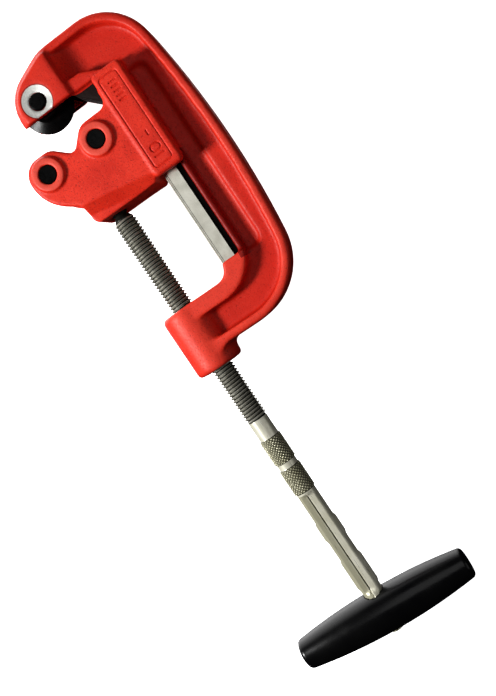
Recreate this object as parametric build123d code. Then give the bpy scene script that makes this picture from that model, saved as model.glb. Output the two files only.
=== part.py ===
from build123d import *

import os
from math import sqrt

# Steel-pipe cutter: a cast C frame with a cutter wheel in its hook, a sliding roller
# housing on a guide rail, and a feed screw with a T handle.
#
# The parts are drawn in a bench frame, in millimetres: the cutter wheel's axis is the
# Z axis, the feed screw's axis is the X axis (+X towards the handle), +Y points at the
# frame's spine and z = 0 is the mid-plane. SHIFT moves each part so that the origin lies
# under the middle of the whole tool, at its lowest point.

# ---- driving dimensions -----------------------------------------------------

# frame casting, outline
HEAD_X = -22.0             # outer face of the hook
CROWN_Y = 72.1             # highest point of the spine
HOOK_INNER_X = 7.2         # straight inner face of the hook
NOSE_RADIUS = 14.6         # underside of the hook, round the wheel's axis
BEND_OUTER_X = 158.6       # outer face of the bend above the screw boss
THROAT_END_X = 130.0       # inner face of the screw boss
THROAT_CORNER = 7.5        # inner corner radius of the bend
HEAD_SHOULDER_Y = 63.3     # where the hook's outer face runs into the spine
HEAD_SHOULDER_RADIUS = 30.0
BEND_SHOULDER_Y = 63.7     # where the bend's outer face runs into the spine
BEND_SHOULDER_RADIUS = 37.0
CROWN_X = 69.0
BROW_Y = 13.5              # where the hook's outer face turns in towards its nose
BROW_RADIUS = 25.0
CHIN_X = -10.8             # where the turned-in face meets the underside
CHIN_RADIUS = 20.0
BOSS_END_X = 167.5
BOSS_RADIUS = 13.8

# frame casting, section
FLANGE_HALF = 13.0         # half-thickness of the rim and the inner flange
WEB_HALF = 5.5             # half-thickness of the web
CHANNEL_HALF = 3.2         # half-thickness of the web in the deep channel by the rail
PAD_HALF = 15.5            # half-thickness of the hook's pad round the wheel pin
PAD_DEPTH = 7.5            # thickness of the pad's plates
PAD_ROUND = 1.5
RIM_WIDTH = 5.2
EDGE_ROUND = 2.4           # rounding of the casting's outer edges
HOOK_FLANGE_X = 0.0        # back of the hook's inner flange
HOOK_FLANGE_TOP_X = 6.0    # the flange narrows to here above the bend in its back
HOOK_FLANGE_BEND_Y = 26.0
HOOK_FLANGE_TOP_Y = 38.0
PAD_TOP_Y = 17.3
PAD_RAMP_MIDDLE = (21.8, 8.8)  # half-way down the hollow slope from the pad to the web
PAD_RAMP_END_Y = 32.0
PAD_RAMP_INSET = 2.6       # the slope starts this far inside the hook's outer face
PAD_INSET = 3.0
PAD_END_X = 15.0
LAND_Y = 43.4              # seat of the guide rail
LAND_TOP_Y = 46.9
LAND_HALF = 9.5
LAND_END_X = 122.3
CHANNEL_START_X = 12.0
CHANNEL_END_X = 124.0
CHANNEL_TOP_Y = 57.0
CHANNEL_CORNER = 5.0
BEND_FLANGE_X = 139.4      # outer edge of the bend's inner flange
BEND_FLANGE_Y = 25.0       # its straight part ends here
BEND_FLANGE_MIDDLE = (134.4, 38.7)
BOSS_WEB_Y = 0.0           # the pocket ends here, inside the screw boss
BOSS_FLARE = 4.0           # hollow corner between the bend's outer face and the boss
GUSSET_Y = 16.4            # start of the gusset between the hook and the rail
BELOW_Y = -40.0            # clear of the frame, for cuts that run out below it

# guide rail
RAIL_START_X = HOOK_INNER_X
RAIL_END_X = 122.7
RAIL_Y = 32.4
RAIL_HEAD_TOP_Y = 40.9
RAIL_HALF = 9.5
RAIL_NECK_HALF = 5.0
RAIL_KEY = 1.5             # depth of the key slot in the frame's land
RAIL_CHAMFER = 1.8
RAIL_CHAMFER_WIDTH = 2.0
RAIL_SCREW_XS = (18.0, 64.0, 110.0)
RAIL_SCREW_RADIUS = 2.0
RAIL_SCREW_HEAD_RADIUS = 3.8
RAIL_SCREW_TIP_Y = 54.0
SOCKET_KEY_RADIUS = 1.5
SOCKET_KEY_DEPTH = 1.4

# cutter wheel and its pin
WHEEL_RADIUS = 15.0
WHEEL_HALF = 9.5
WHEEL_HUB_RADIUS = 8.4
WHEEL_BLADE_HALF = 2.6
WHEEL_SHOULDER = 0.8       # width of the step between the hub and the blade
WHEEL_EDGE_HALF = 0.08
WHEEL_FIT = 0.06           # running fit on the pin
HUB_CHAMFER = 0.6
WHEEL_SLOT_RADIUS = 16.6
WHEEL_SLOT_HALF = 9.9
WHEEL_PIN_RADIUS = 4.4
SPOT_FACE_RADIUS = 8.5
SPOT_FACE_DEPTH = 1.0
WHEEL_PIN_HEAD_RADIUS = 6.8
WHEEL_PIN_HEAD = 1.7
WHEEL_RING_Z = 12.2        # height of the pin's spring ring
PIN_CHAMFER = 0.6
PIN_RECESS = 0.3           # the pins end this far below the faces round them

# roller housing
ROLLER_X = 34.6
ROLLER_Y = 15.8
ROLLER_RADIUS = 12.5
ROLLER_HALF = 9.5
ROLLER_FIT = 0.07          # running fit on the pin
ROLLER_CORNER = 0.9
ROLLER_FACE = 3.6          # width of the shallow step in each end face
ROLLER_STEP = 0.4          # depth of that step
ROLLER_PIN_RADIUS = 5.0
ROLLER_RING_Z = -14.0
CHEEK_INNER = 10.0
CHEEK_OUTER = 18.0
ROLLER_BOSS_RADIUS = 9.0
ROLLER_BOSS_HALF = 20.2
ROLLER_CLEARANCE = 0.8     # room round the rollers between the cheeks
HOUSING_LEFT_X = 7.4
HOUSING_RIGHT_X = 68.2
HOUSING_TOP_Y = 47.6
GUARD_Y = 29.9             # lower edge of the raised guide plates
GUARD_OUTER = 18.9         # the guide plates stand a little proud of the cheeks
GUARD_CORNER = 2.4
GUARD_ROUND = 1.9
CHEEK_ROUND = 1.6
BOSS_ROUND = 1.0
FLOOR_CLEAR_HALF = 13.5    # the guide plates overhang the frame above this height
GRIP_START_X = 15.0
GRIP_END_X = 65.0
BRIDGE_X = 48.2            # the bridge between the cheeks starts behind the rollers
BRIDGE_BOTTOM_Y = -19.0
FOOT_SHOULDER_X = 58.0     # the foot starts to thin here
FOOT_SLOPE = 1.2           # run of that slope for each millimetre of thinning
FOOT_LEAN = -10.5          # the slope leans with the cheek's rear edge, in degrees
FOOT_CORNER = 4.0
FOOT_CUT_X = 56.2          # lower corner under the foot
FOOT_END_X = 69.0
FOOT_HALF = 12.6
FOOT_BOTTOM_Y = -11.0
SLIDE_GAP = 0.35           # clearance between the housing and the rail
PANEL_DEPTH = 0.5
PANEL_START_X = 11.6
PANEL_END_X = 64.4
PANEL_BOTTOM_Y = 32.9
PANEL_TOP_Y = 43.7
PANEL_LINE = 0.8
PANEL_CORNER = 1.8
MARK_COUNT = 5             # plain upright strokes at the panel's left end
MARK_FIRST_X = 15.4
MARK_PITCH = 2.6
MARK_WIDTH = 0.8
MARK_Y = 36.6
MARK_HEIGHT = 4.6
DASH_X = 45.4
DASH_LENGTH = 3.4
LOOP_X = 53.2              # a plain upright loop at the panel's right end
LOOP_WIDTH = 4.4
LOOP_HEIGHT = 6.4
STROKE_X = 59.2

# feed screw
THREAD_RADIUS = 6.35
THREAD_PITCH = 1.954
THREAD_DEPTH = 1.15
THREAD_START_X = 72.5
THREAD_END_X = 202.3
SHANK_RADIUS = 5.65
NECK_RADIUS = 4.3
NECK_WAIST_RADIUS = 3.5     # narrowest point, just outside the foot
NECK_RUN = 0.8
NOSE_X = 56.0
NOSE_CHAMFER = 0.5
NOSE_CUP_RADIUS = 2.6
NOSE_CUP_DEPTH = 1.8
GROOVE_X = 61.0
GROOVE_LENGTH = 4.0
GROOVE_RADIUS = 3.0
KNURL_RADIUS = 6.45
KNURL_BANDS = ((213.8, 229.7), (233.0, 249.0))
KNURL_CHAMFER = 0.6
EAR_ZONES = ((269.0, 279.0), (294.0, 311.0))
EAR_HALF_WIDTH = 6.5
EAR_HALF_HEIGHT = 1.6
SHANK_GROOVE_X = 250.0
SHANK_GROOVE_HALF = 0.45
SHANK_FLAT_HALF = 4.2      # the shank is pressed flat to this half-thickness along the groove
SHANK_FLAT_END_X = 314.0
TENON_X = 333.0
TENON_RADIUS = 3.0
TENON_END_X = 339.0
RIVET_END_X = 340.8
RIVET_FLARE = 0.8

# screw bearing in the housing
SOCKET_X = 51.0
SOCKET_RADIUS = 4.4
BALL_RADIUS = 3.0
RETAINER_RADIUS = 1.5
RETAINER_GAP = 0.12
RETAINER_HALF = 7.0
BALL_GAP = 0.02

# feed nut
NUT_RADIUS = 9.5
NUT_BORE_RADIUS = 6.5

# T handle
HANDLE_X = 328.0
HANDLE_HALF_LENGTH = 53.0
HANDLE_RADIUS = 12.3
HANDLE_END_RADIUS = 8.8
HANDLE_CORNER = 3.2
HANDLE_CROWN = 0.4         # the end faces are slightly domed
INSERT_ACROSS_FLATS = 15.0
INSERT_START_X = 319.5
CROSS_PIN_RADIUS = 1.5
CROSS_PIN_HALF = 7.0
WASHER_RADIUS = 5.0
WASHER_THICKNESS = 1.2

# spring rings that hold the pins
RING_WIRE = 0.6
RING_GROOVE_GAP = 0.05

# position of the finished tool
LENGTH = RIVET_END_X - HEAD_X
WIDTH = CROWN_Y + HANDLE_HALF_LENGTH
SHIFT = Vector(
    -(HEAD_X + LENGTH / 2),
    -(CROWN_Y - WIDTH / 2),
    ROLLER_BOSS_HALF,
)


# ---- helpers ----------------------------------------------------------------

def slab(face, half):
    """A plate of the face's outline, from -half to +half."""
    return extrude(face, amount=half, both=True)


def both_sides(face, low, high):
    """The face's outline as two plates, from low to high on each side of z = 0."""
    upper = extrude(Pos(0, 0, low) * face, amount=high - low)
    return upper + mirror(upper, about=Plane.XY)


def rounded_slab(face, half, radius):
    """A plate from -half to +half with the edges of both flat faces rounded."""
    body = extrude(Pos(0, 0, -half) * face, amount=2 * half)
    levels = body.edges().filter_by(Plane.XY).group_by(Axis.Z)
    return fillet(levels[0] + levels[-1], radius)


def rounded_plates(face, low, high, radius):
    """Two plates, one on each side of z = 0, with their outer edges rounded."""
    upper = extrude(Pos(0, 0, low) * face, amount=high - low)
    upper = fillet(upper.edges().group_by(Axis.Z)[-1], radius)
    return upper + mirror(upper, about=Plane.XY)


def box_between(low, high):
    """A box from one corner to the opposite one."""
    size = [b - a for a, b in zip(low, high)]
    return Pos(*low) * Box(*size, align=(Align.MIN, Align.MIN, Align.MIN))


def post(x, y, radius, low, high):
    """A round post along Z."""
    return Pos(x, y, low) * Cylinder(radius, high - low, align=(Align.CENTER, Align.CENTER, Align.MIN))


def rod(x_low, x_high, radius):
    """A round rod along the screw's axis."""
    return Pos(x_low, 0, 0) * Rot(0, 90, 0) * Cylinder(
        radius, x_high - x_low, align=(Align.CENTER, Align.CENTER, Align.MIN)
    )


def outline(*edges):
    """A face bounded by the given edges."""
    return make_face(Wire(list(edges)))


def rectangle(x_low, x_high, y_low, y_high):
    """A rectangular face on the mid-plane."""
    return Pos((x_low + x_high) / 2, (y_low + y_high) / 2) * Rectangle(x_high - x_low, y_high - y_low)


def spun(points, axis):
    """The closed outline of the points, turned once round the axis."""
    return revolve(make_face(Polyline(*points, close=True)), axis=axis)


def ring_seat(x, y, z, radius):
    """The groove in which a spring ring lies, half in the pin and half in the bore."""
    return Pos(x, y, z) * Torus(radius, RING_WIRE + RING_GROOVE_GAP)


def spring_ring(x, y, z, radius):
    """A ring of spring wire that snaps a pin into its bore."""
    return Pos(x, y, z) * Torus(radius, RING_WIRE)


# ---- frame ------------------------------------------------------------------

def frame_blank():
    """The casting's outer outline, with the throat still filled."""
    head_shoulder = (HEAD_X, HEAD_SHOULDER_Y)
    bend_shoulder = (BEND_OUTER_X, BEND_SHOULDER_Y)
    bend_foot = (BEND_OUTER_X, -NOSE_RADIUS)
    brow = (HEAD_X, BROW_Y)
    chin = (CHIN_X, -NOSE_RADIUS)
    face = outline(
        Line(brow, head_shoulder),
        ThreePointArc(head_shoulder, (CROWN_X, CROWN_Y), bend_shoulder),
        Line(bend_shoulder, bend_foot),
        Line(bend_foot, chin),
        Line(chin, brow),
    )
    rounded = (
        (head_shoulder, HEAD_SHOULDER_RADIUS),
        (bend_shoulder, BEND_SHOULDER_RADIUS),
        (brow, BROW_RADIUS),
        (chin, CHIN_RADIUS),
    )
    for corner, radius in rounded:
        nearest = face.vertices().sort_by_distance(corner)[0]
        face = fillet(nearest, radius)
    return face


def throat():
    """The opening between the hook, the rail seat and the screw boss."""
    corner_x = THROAT_END_X - THROAT_CORNER
    corner_y = RAIL_Y - THROAT_CORNER
    diagonal = THROAT_CORNER * sqrt(0.5)
    return outline(
        Line((HOOK_INNER_X, BELOW_Y), (HOOK_INNER_X, LAND_Y)),
        Line((HOOK_INNER_X, LAND_Y), (corner_x, LAND_Y)),
        Line((corner_x, LAND_Y), (corner_x, RAIL_Y)),
        ThreePointArc(
            (corner_x, RAIL_Y),
            (corner_x + diagonal, corner_y + diagonal),
            (THROAT_END_X, corner_y),
        ),
        Line((THROAT_END_X, corner_y), (THROAT_END_X, BELOW_Y)),
        Line((THROAT_END_X, BELOW_Y), (HOOK_INNER_X, BELOW_Y)),
    )


def pocket():
    """The recess in each side of the casting, inside the rim."""
    inside = offset(frame_blank(), amount=-RIM_WIDTH)
    hook_flange = make_face(Polyline(
        (HOOK_FLANGE_X, BELOW_Y),
        (HOOK_FLANGE_X, HOOK_FLANGE_BEND_Y),
        (HOOK_FLANGE_TOP_X, HOOK_FLANGE_TOP_Y),
        (HOOK_FLANGE_TOP_X, LAND_TOP_Y),
        (CHANNEL_START_X, LAND_TOP_Y),
        (CHANNEL_START_X, BELOW_Y),
        close=True,
    ))
    nose_pad = rectangle(HEAD_X, CHANNEL_START_X, BELOW_Y, PAD_TOP_Y)
    rail_land = rectangle(HOOK_FLANGE_TOP_X, LAND_END_X, BELOW_Y, LAND_TOP_Y)
    bend_flange = outline(
        Line((CHANNEL_START_X, LAND_TOP_Y), (LAND_END_X, LAND_TOP_Y)),
        ThreePointArc(
            (LAND_END_X, LAND_TOP_Y), BEND_FLANGE_MIDDLE, (BEND_FLANGE_X, BEND_FLANGE_Y)
        ),
        Line((BEND_FLANGE_X, BEND_FLANGE_Y), (BEND_FLANGE_X, BELOW_Y)),
        Line((BEND_FLANGE_X, BELOW_Y), (CHANNEL_START_X, BELOW_Y)),
        Line((CHANNEL_START_X, BELOW_Y), (CHANNEL_START_X, LAND_TOP_Y)),
    )
    screw_boss = rectangle(LAND_END_X, BOSS_END_X, BELOW_Y, BOSS_WEB_Y)
    return inside - hook_flange - nose_pad - rail_land - bend_flange - screw_boss


def deep_channel():
    """The lower strip of the web beside the rail, with rounded ends."""
    strip = rectangle(CHANNEL_START_X, CHANNEL_END_X, LAND_TOP_Y, CHANNEL_TOP_Y)
    return fillet(strip.vertices().group_by(Axis.Y)[-1], CHANNEL_CORNER)


def frame():
    """The cast C frame: hook, spine, bend and screw boss."""
    body = rounded_slab(frame_blank(), FLANGE_HALF, EDGE_ROUND)
    body += rounded_plates(hook_pad(), PAD_HALF - PAD_DEPTH, PAD_HALF, PAD_ROUND)
    body -= slab(throat(), PAD_HALF + 1)
    body -= slab(rectangle(THROAT_END_X - 1, BEND_OUTER_X + 1, BELOW_Y, 0), PAD_HALF)
    body -= both_sides(pocket(), WEB_HALF, PAD_HALF)
    body -= both_sides(deep_channel(), CHANNEL_HALF, PAD_HALF)
    rail_side = rectangle(HOOK_INNER_X, LAND_END_X, LAND_Y - 1, LAND_TOP_Y)
    body -= both_sides(rail_side, LAND_HALF, PAD_HALF)
    gusset_run = RAIL_Y - GUSSET_Y
    gusset = make_face(Polyline(
        (HOOK_INNER_X, GUSSET_Y),
        (HOOK_INNER_X + gusset_run, RAIL_Y),
        (HOOK_INNER_X, RAIL_Y),
        close=True,
    ))
    body += slab(gusset, RAIL_HALF)
    boss = rod(THROAT_END_X, BOSS_END_X, BOSS_RADIUS)
    body += fillet(boss.edges().filter_by(GeomType.CIRCLE), EDGE_ROUND)
    body += pad_ramps() + boss_flare()
    return frame_holes(body)


def hook_pad():
    """The outline of the thicker pad round the wheel's pin."""
    inset = offset(frame_blank(), amount=-PAD_INSET)
    return inset & rectangle(HEAD_X, PAD_END_X, BELOW_Y, PAD_TOP_Y)


def pad_ramps():
    """The hollow slopes from the hook's pad down to the web, one on each side."""
    inside_y = PAD_TOP_Y - 1
    section = outline(
        Line((inside_y, 0), (inside_y, FLANGE_HALF)),
        Line((inside_y, FLANGE_HALF), (PAD_TOP_Y, FLANGE_HALF)),
        ThreePointArc((PAD_TOP_Y, FLANGE_HALF), PAD_RAMP_MIDDLE, (PAD_RAMP_END_Y, WEB_HALF)),
        Line((PAD_RAMP_END_Y, WEB_HALF), (PAD_RAMP_END_Y, 0)),
        Line((PAD_RAMP_END_Y, 0), (inside_y, 0)),
    )
    # the section lies on a YZ plane just inside the hook's outer face
    start_x = HEAD_X + PAD_RAMP_INSET
    start = Plane(origin=(start_x, 0, 0), x_dir=(0, 1, 0), z_dir=(1, 0, 0))
    upper = extrude(start * section, amount=HOOK_FLANGE_X + 1 - start_x)
    return upper + mirror(upper, about=Plane.XY)


def boss_flare():
    """The hollow corner where the bend's outer face meets the screw boss."""
    inside_x = BEND_OUTER_X - 1
    top_y = BOSS_RADIUS + BOSS_FLARE
    end_x = BEND_OUTER_X + BOSS_FLARE
    near = BOSS_FLARE * (1 - sqrt(0.5))
    section = outline(
        Line((inside_x, 0), (inside_x, top_y)),
        Line((inside_x, top_y), (BEND_OUTER_X, top_y)),
        ThreePointArc(
            (BEND_OUTER_X, top_y), (BEND_OUTER_X + near, BOSS_RADIUS + near), (end_x, BOSS_RADIUS)
        ),
        Line((end_x, BOSS_RADIUS), (end_x, 0)),
        Line((end_x, 0), (inside_x, 0)),
    )
    ring = revolve(section, axis=Axis.X)
    return ring & box_between((inside_x, 0, -FLANGE_HALF), (end_x, top_y, FLANGE_HALF))


def frame_holes(body):
    """Cut the wheel slot, the pin bore, the nut bore and the rail's seat."""
    body -= post(0, 0, WHEEL_SLOT_RADIUS, -WHEEL_SLOT_HALF, WHEEL_SLOT_HALF)
    body -= box_between(
        (0, BELOW_Y, -WHEEL_SLOT_HALF), (HOOK_INNER_X + 1, WHEEL_SLOT_RADIUS, WHEEL_SLOT_HALF)
    )
    body -= post(0, 0, WHEEL_PIN_RADIUS, -PAD_HALF - 1, PAD_HALF + 1)
    spot_depth = PAD_HALF - SPOT_FACE_DEPTH
    body -= both_sides(Circle(SPOT_FACE_RADIUS), spot_depth, PAD_HALF + 1)
    body -= ring_seat(0, 0, WHEEL_RING_Z, WHEEL_PIN_RADIUS)
    body -= rod(THROAT_END_X - 1, BOSS_END_X + 1, NUT_RADIUS)
    body -= box_between(
        (RAIL_START_X, LAND_Y - 1, -RAIL_NECK_HALF),
        (RAIL_END_X, LAND_Y + RAIL_KEY, RAIL_NECK_HALF),
    )
    for x in RAIL_SCREW_XS:
        body -= rail_screw_shank(x)
    return body


# ---- guide rail -------------------------------------------------------------

def rail_screw_shank(x):
    """The straight part of a rail screw, along Y."""
    length = RAIL_SCREW_TIP_Y - RAIL_Y
    return Pos(x, RAIL_Y, 0) * Rot(-90, 0, 0) * Cylinder(
        RAIL_SCREW_RADIUS, length, align=(Align.CENTER, Align.CENTER, Align.MIN)
    )


def rail_screw(x):
    """A countersunk screw that holds the rail, with a hexagon socket."""
    taper = RAIL_SCREW_HEAD_RADIUS - RAIL_SCREW_RADIUS
    head = Pos(x, RAIL_Y, 0) * Rot(-90, 0, 0) * Cone(
        RAIL_SCREW_HEAD_RADIUS, RAIL_SCREW_RADIUS, taper,
        align=(Align.CENTER, Align.CENTER, Align.MIN),
    )
    socket_key = extrude(
        Pos(x, RAIL_Y, 0) * Rot(-90, 0, 0) * RegularPolygon(SOCKET_KEY_RADIUS, 6),
        amount=SOCKET_KEY_DEPTH,
    )
    return head + rail_screw_shank(x) - socket_key


def guide_rail():
    """The T-section steel bar that the roller housing slides on."""
    section = make_face(Polyline(
        (RAIL_Y, RAIL_HALF - RAIL_CHAMFER_WIDTH),
        (RAIL_Y + RAIL_CHAMFER, RAIL_HALF),
        (RAIL_HEAD_TOP_Y, RAIL_HALF),
        (RAIL_HEAD_TOP_Y, RAIL_NECK_HALF),
        (LAND_Y + RAIL_KEY, RAIL_NECK_HALF),
        (LAND_Y + RAIL_KEY, -RAIL_NECK_HALF),
        (RAIL_HEAD_TOP_Y, -RAIL_NECK_HALF),
        (RAIL_HEAD_TOP_Y, -RAIL_HALF),
        (RAIL_Y + RAIL_CHAMFER, -RAIL_HALF),
        (RAIL_Y, RAIL_CHAMFER_WIDTH - RAIL_HALF),
        close=True,
    ))
    # the section lies on the YZ plane at the rail's start
    start = Plane(origin=(RAIL_START_X, 0, 0), x_dir=(0, 1, 0), z_dir=(1, 0, 0))
    bar = extrude(start * section, amount=THROAT_END_X - THROAT_CORNER - RAIL_START_X)
    for x in RAIL_SCREW_XS:
        bar -= rail_screw_shank(x)
        bar -= Pos(x, RAIL_Y, 0) * Rot(-90, 0, 0) * Cone(
            RAIL_SCREW_HEAD_RADIUS, RAIL_SCREW_RADIUS,
            RAIL_SCREW_HEAD_RADIUS - RAIL_SCREW_RADIUS,
            align=(Align.CENTER, Align.CENTER, Align.MIN),
        )
    return bar


def rail_screws():
    """The three screws that hold the rail."""
    return Compound(children=[rail_screw(x) for x in RAIL_SCREW_XS])


# ---- cutter wheel -----------------------------------------------------------

def cutter_wheel():
    """The hardened wheel: a sharp disc with a hub on each side."""
    bore = WHEEL_PIN_RADIUS + WHEEL_FIT
    shoulder = WHEEL_HUB_RADIUS + WHEEL_SHOULDER
    front_half = (
        (WHEEL_RADIUS, WHEEL_EDGE_HALF),
        (shoulder, WHEEL_BLADE_HALF),
        (WHEEL_HUB_RADIUS, WHEEL_BLADE_HALF + WHEEL_SHOULDER),
        (WHEEL_HUB_RADIUS, WHEEL_HALF - HUB_CHAMFER),
        (WHEEL_HUB_RADIUS - HUB_CHAMFER, WHEEL_HALF),
        (bore, WHEEL_HALF),
    )
    rear_half = tuple((radius, -z) for radius, z in reversed(front_half))
    profile = front_half + rear_half
    return revolve(Plane.XZ * make_face(Polyline(*profile, close=True)), axis=Axis.Z)


def cutter_wheel_pin():
    """The wheel's pin, with a head in the rear spot face and a groove for its ring."""
    spot = PAD_HALF - SPOT_FACE_DEPTH
    shaft = post(0, 0, WHEEL_PIN_RADIUS, -spot, PAD_HALF - PIN_RECESS)
    shaft = chamfer(shaft.edges().group_by(Axis.Z)[-1], PIN_CHAMFER)
    head = post(0, 0, WHEEL_PIN_HEAD_RADIUS, -spot - WHEEL_PIN_HEAD, -spot)
    head = chamfer(head.edges().group_by(Axis.Z)[0], PIN_CHAMFER)
    return shaft + head - ring_seat(0, 0, WHEEL_RING_Z, WHEEL_PIN_RADIUS)


def cutter_pin_ring():
    """The spring ring that keeps the wheel's pin in the hook."""
    return spring_ring(0, 0, WHEEL_RING_Z, WHEEL_PIN_RADIUS)


# ---- roller housing ---------------------------------------------------------

def cheek_outline():
    """A side plate: mouth, two round lobes for the rollers and a slanted rear edge."""
    top_y = HOUSING_TOP_Y - 3.0
    mouth_x = 23.3
    lobe_x = 23.9
    lobe_y = -27.4
    corners = (
        ((GRIP_START_X, top_y), 0),
        ((GRIP_START_X, 29.2), 0),
        ((mouth_x, 29.2), 4.5),
        ((mouth_x, 11.5), 9.0),
        ((33.4, 1.6), 3.5),
        ((lobe_x, -9.0), 8.0),
        ((lobe_x, lobe_y), 10.0),
        ((46.0, lobe_y), 22.0),
        ((58.7, -9.6), 0),
        ((GRIP_END_X, 30.5), 0),
        ((GRIP_END_X, top_y), 0),
    )
    face = make_face(Polyline(*[point for point, _ in corners], close=True))
    for point, radius in corners:
        if radius:
            face = fillet(face.vertices().sort_by_distance(point)[0], radius)
    return face


def foot_outline():
    """The bridge and foot that carry the screw's end."""
    top_y = RAIL_Y - SLIDE_GAP
    bevel = FOOT_CORNER
    corners = (
        (BRIDGE_X, BRIDGE_BOTTOM_Y),
        (BRIDGE_X, top_y),
        (FOOT_END_X - bevel, top_y),
        (FOOT_END_X, top_y - bevel),
        (FOOT_END_X, FOOT_BOTTOM_Y),
        (FOOT_CUT_X, FOOT_BOTTOM_Y),
    )
    face = make_face(Polyline(*corners, close=True))
    heel = face.vertices().sort_by_distance((FOOT_END_X, FOOT_BOTTOM_Y))[0]
    return fillet(heel, FOOT_CORNER)


def foot():
    """The foot, sloping from the cheeks' thickness down to its own."""
    block = slab(foot_outline(), CHEEK_OUTER)
    slope_end_x = FOOT_SHOULDER_X + (CHEEK_OUTER - FOOT_HALF) * FOOT_SLOPE
    beyond_x = FOOT_END_X + 10
    for side in (1, -1):
        wedge = make_face(Polyline(
            (FOOT_SHOULDER_X, side * CHEEK_OUTER),
            (slope_end_x, side * FOOT_HALF),
            (beyond_x, side * FOOT_HALF),
            (beyond_x, side * (CHEEK_OUTER + 1)),
            (FOOT_SHOULDER_X, side * (CHEEK_OUTER + 1)),
            close=True,
        ))
        cutter = extrude(Plane.XZ * wedge, amount=HOUSING_RIGHT_X, both=True)
        block -= Rot(0, 0, FOOT_LEAN) * cutter
    return block


def guide_plates():
    """The two plates that wrap the rail, with the lips that hook behind its head."""
    plate = rectangle(HOUSING_LEFT_X, HOUSING_RIGHT_X, GUARD_Y, HOUSING_TOP_Y)
    plate = fillet(plate.vertices(), GUARD_CORNER)
    grip = rectangle(GRIP_START_X, GRIP_END_X, GUARD_Y, HOUSING_TOP_Y)
    lip = rectangle(
        GRIP_START_X, GRIP_END_X, RAIL_HEAD_TOP_Y + SLIDE_GAP, LAND_Y - SLIDE_GAP
    )
    side_gap = RAIL_HALF + SLIDE_GAP
    plates = rounded_plates(plate, FLOOR_CLEAR_HALF, GUARD_OUTER, GUARD_ROUND)
    plates += both_sides(grip, side_gap, FLOOR_CLEAR_HALF)
    plates += both_sides(lip, RAIL_NECK_HALF + SLIDE_GAP, side_gap)
    return plates


def panel_border():
    """The engraved rounded border on the front plate, and a row of plain marks."""
    border = rectangle(PANEL_START_X, PANEL_END_X, PANEL_BOTTOM_Y, PANEL_TOP_Y)
    outer = fillet(border.vertices(), PANEL_CORNER)
    line = outer - offset(outer, amount=-PANEL_LINE)
    low_z = GUARD_OUTER - PANEL_DEPTH
    high_z = GUARD_OUTER + 1
    loop_edge = rectangle(LOOP_X, LOOP_X + LOOP_WIDTH, MARK_Y - 1, MARK_Y - 1 + LOOP_HEIGHT)
    loop = fillet(loop_edge.vertices(), PANEL_CORNER)
    line += loop - offset(loop, amount=-MARK_WIDTH)
    line += rectangle(STROKE_X, STROKE_X + MARK_WIDTH, MARK_Y - 1, MARK_Y - 1 + LOOP_HEIGHT)
    dash_y = MARK_Y + MARK_HEIGHT / 2
    line += rectangle(DASH_X, DASH_X + DASH_LENGTH, dash_y, dash_y + MARK_WIDTH)
    for step in range(MARK_COUNT):
        x = MARK_FIRST_X + step * MARK_PITCH
        line += rectangle(x, x + MARK_WIDTH, MARK_Y, MARK_Y + MARK_HEIGHT)
    return extrude(Pos(0, 0, low_z) * line, amount=high_z - low_z)


def roller_housing():
    """The sliding casting: cheeks, guide plates, bosses and screw foot."""
    body = rounded_plates(cheek_outline(), CHEEK_INNER, CHEEK_OUTER, CHEEK_ROUND)
    body += foot()
    body += guide_plates()
    for y in (ROLLER_Y, -ROLLER_Y):
        boss = Pos(ROLLER_X, y) * Circle(ROLLER_BOSS_RADIUS)
        body += rounded_plates(boss, CHEEK_INNER, ROLLER_BOSS_HALF, BOSS_ROUND)
    body = housing_holes(body)
    return body - panel_border()


def housing_holes(body):
    """Cut the roller pins' bores, the screw's socket and the retainers' holes."""
    for y in (ROLLER_Y, -ROLLER_Y):
        body -= post(ROLLER_X, y, ROLLER_PIN_RADIUS, -ROLLER_BOSS_HALF - 1, ROLLER_BOSS_HALF + 1)
        body -= ring_seat(ROLLER_X, y, ROLLER_RING_Z, ROLLER_PIN_RADIUS)
        # room for the roller where the bridge and the cheeks meet
        body -= post(ROLLER_X, y, ROLLER_RADIUS + ROLLER_CLEARANCE, -CHEEK_INNER, CHEEK_INNER)
    body -= rod(SOCKET_X, FOOT_END_X + 1, SOCKET_RADIUS)
    for side in (1, -1):
        body -= retainer(side)
    return body


# ---- rollers ----------------------------------------------------------------

def roller(y):
    """A hardened roller with turned end faces."""
    bore = ROLLER_PIN_RADIUS + ROLLER_FIT
    step_z = ROLLER_HALF - ROLLER_STEP
    front_half = (
        (ROLLER_RADIUS, step_z - ROLLER_CORNER),
        (ROLLER_RADIUS - ROLLER_CORNER, step_z),
        (ROLLER_RADIUS - ROLLER_FACE, step_z),
        (ROLLER_RADIUS - ROLLER_FACE - ROLLER_STEP, ROLLER_HALF),
        (bore, ROLLER_HALF),
    )
    rear_half = tuple((radius, -z) for radius, z in reversed(front_half))
    profile = front_half + rear_half
    turned = revolve(Plane.XZ * make_face(Polyline(*profile, close=True)), axis=Axis.Z)
    return Pos(ROLLER_X, y, 0) * turned


def roller_pin(y):
    """A roller's pin, flush with the bosses."""
    half = ROLLER_BOSS_HALF - PIN_RECESS
    pin = post(ROLLER_X, y, ROLLER_PIN_RADIUS, -half, half)
    pin = chamfer(pin.edges().filter_by(GeomType.CIRCLE), PIN_CHAMFER)
    return pin - ring_seat(ROLLER_X, y, ROLLER_RING_Z, ROLLER_PIN_RADIUS)


def roller_pin_rings():
    """The spring rings that keep the roller pins in the housing."""
    return Compound(children=[
        spring_ring(ROLLER_X, y, ROLLER_RING_Z, ROLLER_PIN_RADIUS) for y in (ROLLER_Y, -ROLLER_Y)
    ])


# ---- screw bearing ----------------------------------------------------------

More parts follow.
